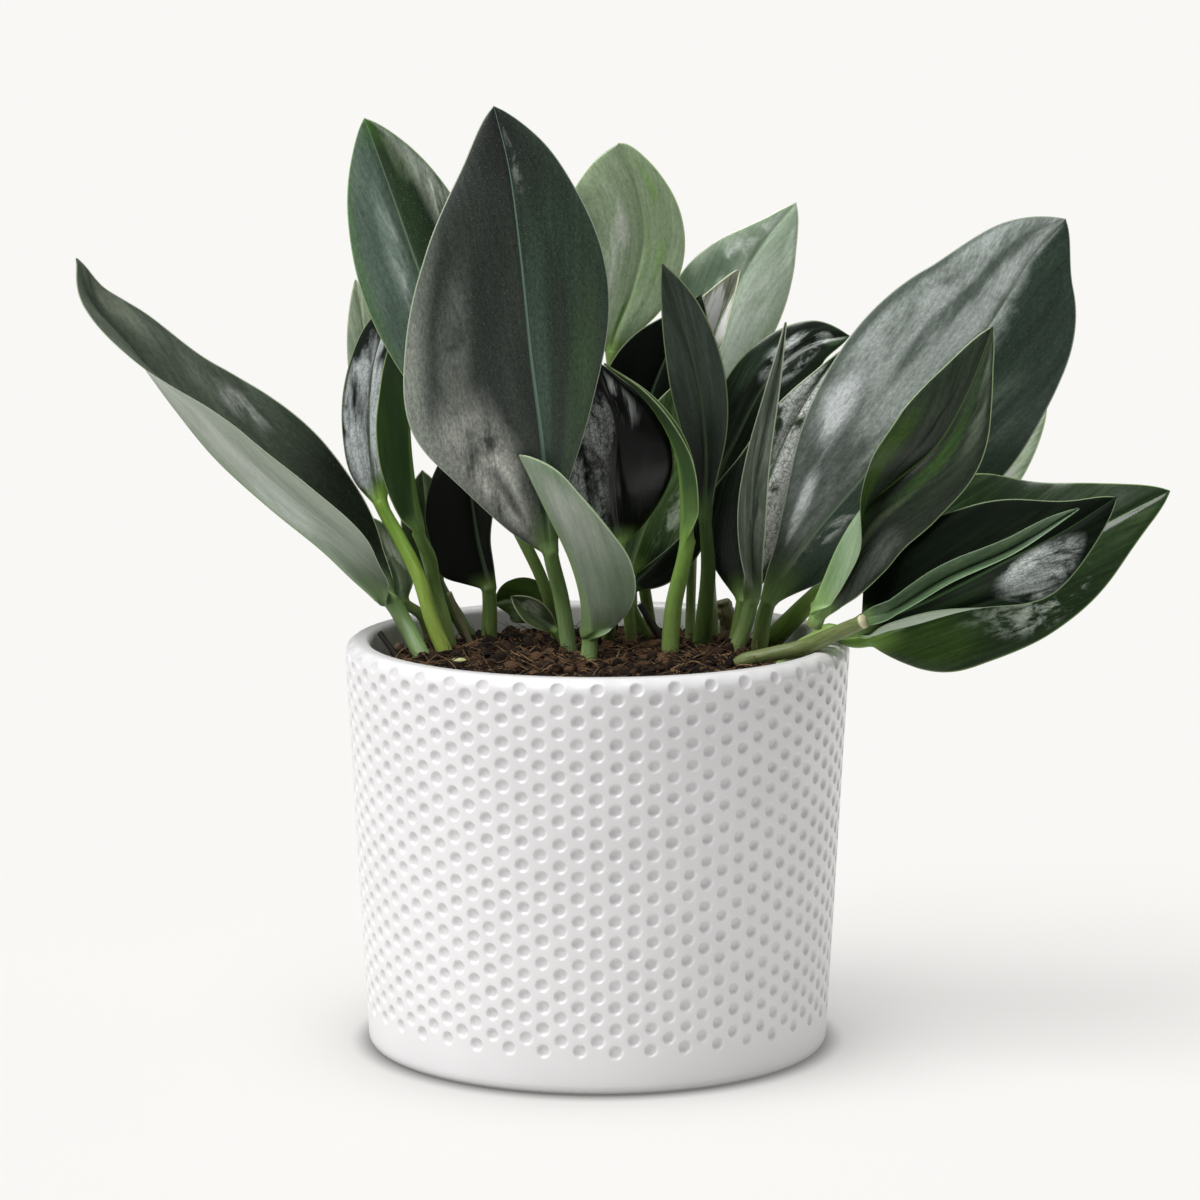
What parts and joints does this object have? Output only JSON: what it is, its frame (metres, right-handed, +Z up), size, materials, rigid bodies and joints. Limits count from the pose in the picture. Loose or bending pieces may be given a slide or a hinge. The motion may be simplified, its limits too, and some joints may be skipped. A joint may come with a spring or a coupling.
{
  "type": "potted scindapsus",
  "caption": "Scindapsus house plant: long dark glossy leaves on green stalks standing in soil in a dimpled white ceramic pot.",
  "frame": {"origin": "centre of the pot's flat base", "axes": "+Z up, -Y the front, +X to the right of the front"},
  "size_m": [0.2997, 0.14, 0.2613],
  "materials": {
    "glaze": "satin white glaze over pressed dimples",
    "soil": "matte coir fibre and crumbs",
    "leaf_dark": "waxy satin to gloss",
    "leaf_green": "waxy satin",
    "leaf_pale": "matte underside",
    "leaf_silver": "silver mottled gloss",
    "stem_green": "smooth satin",
    "stem_dark": "matte bark",
    "pebble": "matte"
  },
  "bodies": {
    "root": {"leaf_back_centre": "leaf_dark", "leaf_back_left_narrow": "leaf_silver", "leaf_back_low": "leaf_dark", "leaf_back_low_dark": "leaf_dark", "leaf_back_right": "leaf_dark", "leaf_back_right_low": "leaf_dark", "leaf_centre_broad": "leaf_dark", "leaf_centre_folded": "leaf_green", "leaf_centre_narrow": "leaf_dark", "leaf_chip_fallen": "leaf_pale", "leaf_front_right_upright": "leaf_dark", "leaf_front_small": "leaf_pale", "leaf_inner_dark": "leaf_dark", "leaf_inner_pale": "leaf_pale", "leaf_left_folded": "leaf_green", "leaf_left_small": "leaf_dark", "leaf_left_spreading": "leaf_dark", "leaf_left_upright": "leaf_dark", "leaf_right_folded": "leaf_green", "leaf_right_large": "leaf_silver", "leaf_right_low_dark": "leaf_dark", "leaf_right_low_green": "leaf_green", "leaf_right_mottled": "leaf_silver", "leaf_small_folded": "leaf_green", "leaf_tall_front": "leaf_dark", "leaf_tall_left": "leaf_dark", "leaf_top_centre": "leaf_green", "leaf_top_right": "leaf_silver", "leaf_torn_scrap": "leaf_pale", "leaf_young_back": "leaf_pale", "leaf_young_rolled": "leaf_green", "pebble_left": "pebble", "pot": "glaze", "soil": "soil", "stem_cut_cane": "stem_green", "stem_stub_centre": "stem_dark", "stem_stub_knobby": "stem_dark", "stem_thin_dark": "stem_dark", "twig_edge": "stem_dark", "twig_left": "stem_dark"}
  },
  "joints": []
}
